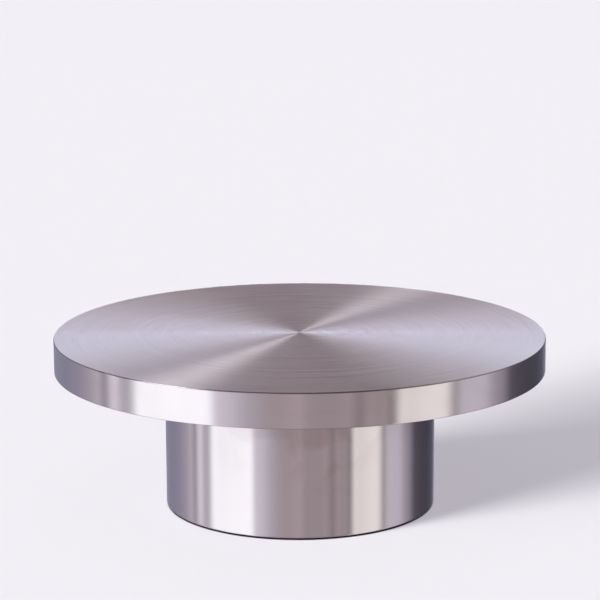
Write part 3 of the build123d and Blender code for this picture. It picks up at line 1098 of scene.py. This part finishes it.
def hangSoftbox(name, look):
    width, height = look["size"]
    data = bpy.data.lights.new(name, "AREA")
    data.shape = "RECTANGLE"
    data.size = width
    data.size_y = height
    data.energy = look["glow"] * width * height * math.pi
    data.color = look["colour"]
    lamp = addObject(name, data)
    direction = towards(look["azimuth"], look["elevation"])
    lamp.location = direction * look["distance"]
    lamp.rotation_euler = direction.to_track_quat("Z", "Y").to_euler()
    lamp.visible_camera = False
    lamp.visible_diffuse = False


hangSoftbox("keySoftbox", keySoftbox)

# A strip of light near the floor draws the shadow, and a fainter one above it softens the edge.
sideStrip = {
    "azimuth": -56.7,
    "suns": [
        {"elevation": 4.5, "softness": 26.4, "floorLight": 1.42},
        {"elevation": 23.3, "softness": 21.5, "floorLight": 0.17},
    ],
}


def meanHeight(elevation, softness, slices=25):
    # How steeply a wide sun lights the floor, counting only what stands above the floor.
    total = 0.0
    shares = 0.0
    for step in range(1 - slices, slices):
        level = step / slices
        share = math.sqrt(1 - level * level)
        total += share * max(0.0, math.sin(math.radians(elevation + level * softness / 2)))
        shares += share
    return total / shares


def shineSideStrip(look):
    for sun in look["suns"]:
        data = bpy.data.lights.new("sideStrip", "SUN")
        data.angle = math.radians(sun["softness"])
        data.energy = sun["floorLight"] * math.pi / meanHeight(sun["elevation"], sun["softness"])
        lamp = addObject("sideStrip", data)
        direction = towards(look["azimuth"], sun["elevation"])
        lamp.rotation_euler = direction.to_track_quat("Z", "Y").to_euler()
        lamp.visible_glossy = False


shineSideStrip(sideStrip)

# What stands round the set, as the metal shows it: walls and gaps low down, a plainer band above them, and
# a dark ceiling and ground. Each is set out by azimuth, brightness and tone, and changes evenly to the next.
room = {
    "white": shadeOf(0.88, 0.871, 0.913),
    "ambient": shadeOf(0.34, 0.335, 0.35),
    "ceiling": shadeOf(0.09, 0.08, 0.08),
    "ground": shadeOf(0.14, 0.13, 0.14),
    "groundEdge": (-62.0, -44.0),
    "behind": shadeOf(0.30, 0.29, 0.38),
    "behindEdge": (-4.0, -9.0),
    "behindWidth": (27.0, 21.0),
    "wallEdge": (6.0, 18.0),
    "bandEdge": (31.0, 60.0),
    "brightest": 3.0,
    "tones": {
        "cool": (0.91, 1.0, 1.26),
        "pale": (0.93, 1.0, 1.18),
        "blue": (1.0, 1.0, 1.35),
        "violet": (1.1, 1.0, 1.29),
        "mauve": (1.05, 1.0, 1.13),
        "plain": (0.96, 1.0, 1.04),
        "cream": (1.04, 1.0, 0.99),
        "rose": (1.16, 1.0, 1.06),
        "brick": (1.25, 1.0, 1.03),
        "straw": (1.1, 1.0, 0.82),
    },
    "leftWalls": [
        (-180, 1.2, "cool"),
        (-167, 1.2, "cool"),
        (-162, 0.32, "blue"),
        (-155, 0.3, "blue"),
        (-136, 0.33, "blue"),
        (-122, 0.4, "violet"),
        (-111, 0.56, "mauve"),
        (-105, 0.78, "mauve"),
        (-102, 0.4, "mauve"),
        (-99.5, 0.28, "mauve"),
        (-96, 1.17, "mauve"),
        (-92.5, 1.2, "mauve"),
        (-89.5, 0.58, "mauve"),
        (-85, 0.56, "mauve"),
        (-82, 0.94, "plain"),
        (-79, 2.0, "plain"),
        (-75, 1.7, "plain"),
        (-70, 1.6, "plain"),
        (-54, 1.68, "plain"),
        (-42, 1.8, "plain"),
        (-38.5, 0.86, "mauve"),
        (-33, 0.86, "mauve"),
        (-24, 0.6, "mauve"),
        (-16, 0.48, "rose"),
        (-10, 0.47, "rose"),
        (0, 0.54, "rose"),
    ],
    "rightWalls": [
        (0, 0.54, "rose"),
        (4, 0.44, "rose"),
        (17, 0.44, "rose"),
        (22, 0.49, "rose"),
        (27.5, 0.31, "rose"),
        (32, 0.5, "rose"),
        (36, 0.41, "rose"),
        (39, 0.49, "rose"),
        (42, 0.15, "rose"),
        (43.5, 0.28, "rose"),
        (46.5, 1.28, "cream"),
        (51, 1.12, "cream"),
        (70, 1.37, "cream"),
        (75, 0.26, "cream"),
        (78.5, 0.75, "mauve"),
        (94, 0.79, "mauve"),
        (99, 0.54, "mauve"),
        (108, 0.37, "violet"),
        (112, 0.13, "violet"),
        (122, 0.09, "violet"),
        (140, 0.07, "blue"),
        (156, 0.12, "blue"),
        (163, 0.17, "blue"),
        (168, 1.33, "cool"),
        (180, 1.2, "cool"),
    ],
    "band": [
        (-180, 0.53, "brick"),
        (-170, 0.34, "brick"),
        (-160, 1.62, "pale"),
        (-145, 0.9, "mauve"),
        (-120, 0.16, "blue"),
        (-60, 0.76, "mauve"),
        (-20, 0.95, "mauve"),
        (5, 0.44, "rose"),
        (30, 0.3, "rose"),
        (75, 1.1, "straw"),
        (120, 0.36, "violet"),
        (145, 0.9, "pale"),
        (160, 1.9, "pale"),
        (170, 0.36, "brick"),
        (180, 0.53, "brick"),
    ],
}


def lightRoom(look):
    world = bpy.data.worlds.new("studioRoom")
    bpy.context.scene.world = world
    world.use_nodes = True
    tree = world.node_tree
    background = tree.nodes["Background"]
    direction = tree.nodes.new("ShaderNodeTexCoord").outputs["Generated"]
    x, y, z = splitPlace(tree, direction)
    azimuth = calc(tree, "ARCTAN2", x, calc(tree, "MULTIPLY", y, -1.0))
    full = (look["brightest"],) * 3

    def toned(brightness, tone):
        return shadeOf(*[brightness * part / look["brightest"] for part in look["tones"][tone]])

    def coloursRound(stops):
        first = stops[0][0]
        last = stops[-1][0]
        ramp = tree.nodes.new("ShaderNodeValToRGB")
        feed(tree, remap(tree, azimuth, math.radians(first), math.radians(last)), ramp.inputs["Fac"])
        marks = ramp.color_ramp.elements
        while len(marks) < len(stops):
            marks.new(1.0)
        for mark, stop in zip(marks, stops):
            mark.position = (stop[0] - first) / (last - first)
        for mark, stop in zip(marks, stops):
            mark.color = toned(*stop[1:])
        return calcVector(tree, "MULTIPLY", ramp.outputs["Color"], full)

    def above(edge):
        return remap(tree, z, *[math.sin(math.radians(angle)) for angle in edge])

    side = calc(tree, "GREATER_THAN", x, 0.0)
    walls = mixColours(tree, side, coloursRound(look["leftWalls"]), coloursRound(look["rightWalls"]))
    farSide = remap(tree, y, *[math.cos(math.radians(angle)) for angle in look["behindWidth"]])
    low = calc(tree, "MULTIPLY", farSide, above(look["behindEdge"]))
    walls = mixColours(tree, low, walls, look["behind"])
    inMetal = mixColours(tree, above(look["groundEdge"]), look["ground"], walls)
    inMetal = mixColours(tree, above(look["wallEdge"]), inMetal, coloursRound(look["band"]))
    inMetal = mixColours(tree, above(look["bandEdge"]), inMetal, look["ceiling"])
    seen = tree.nodes.new("ShaderNodeLightPath").outputs
    mirrored = calc(tree, "MAXIMUM", seen["Is Glossy Ray"], seen["Is Transmission Ray"])
    colour = mixColours(tree, mirrored, look["ambient"], inMetal)
    colour = mixColours(tree, seen["Is Camera Ray"], colour, look["white"])
    tree.links.new(colour, background.inputs["Color"])
    background.inputs["Strength"].default_value = 1.0


lightRoom(room)
bpy.context.scene.view_settings.view_transform = "Standard"
print("studio lit")
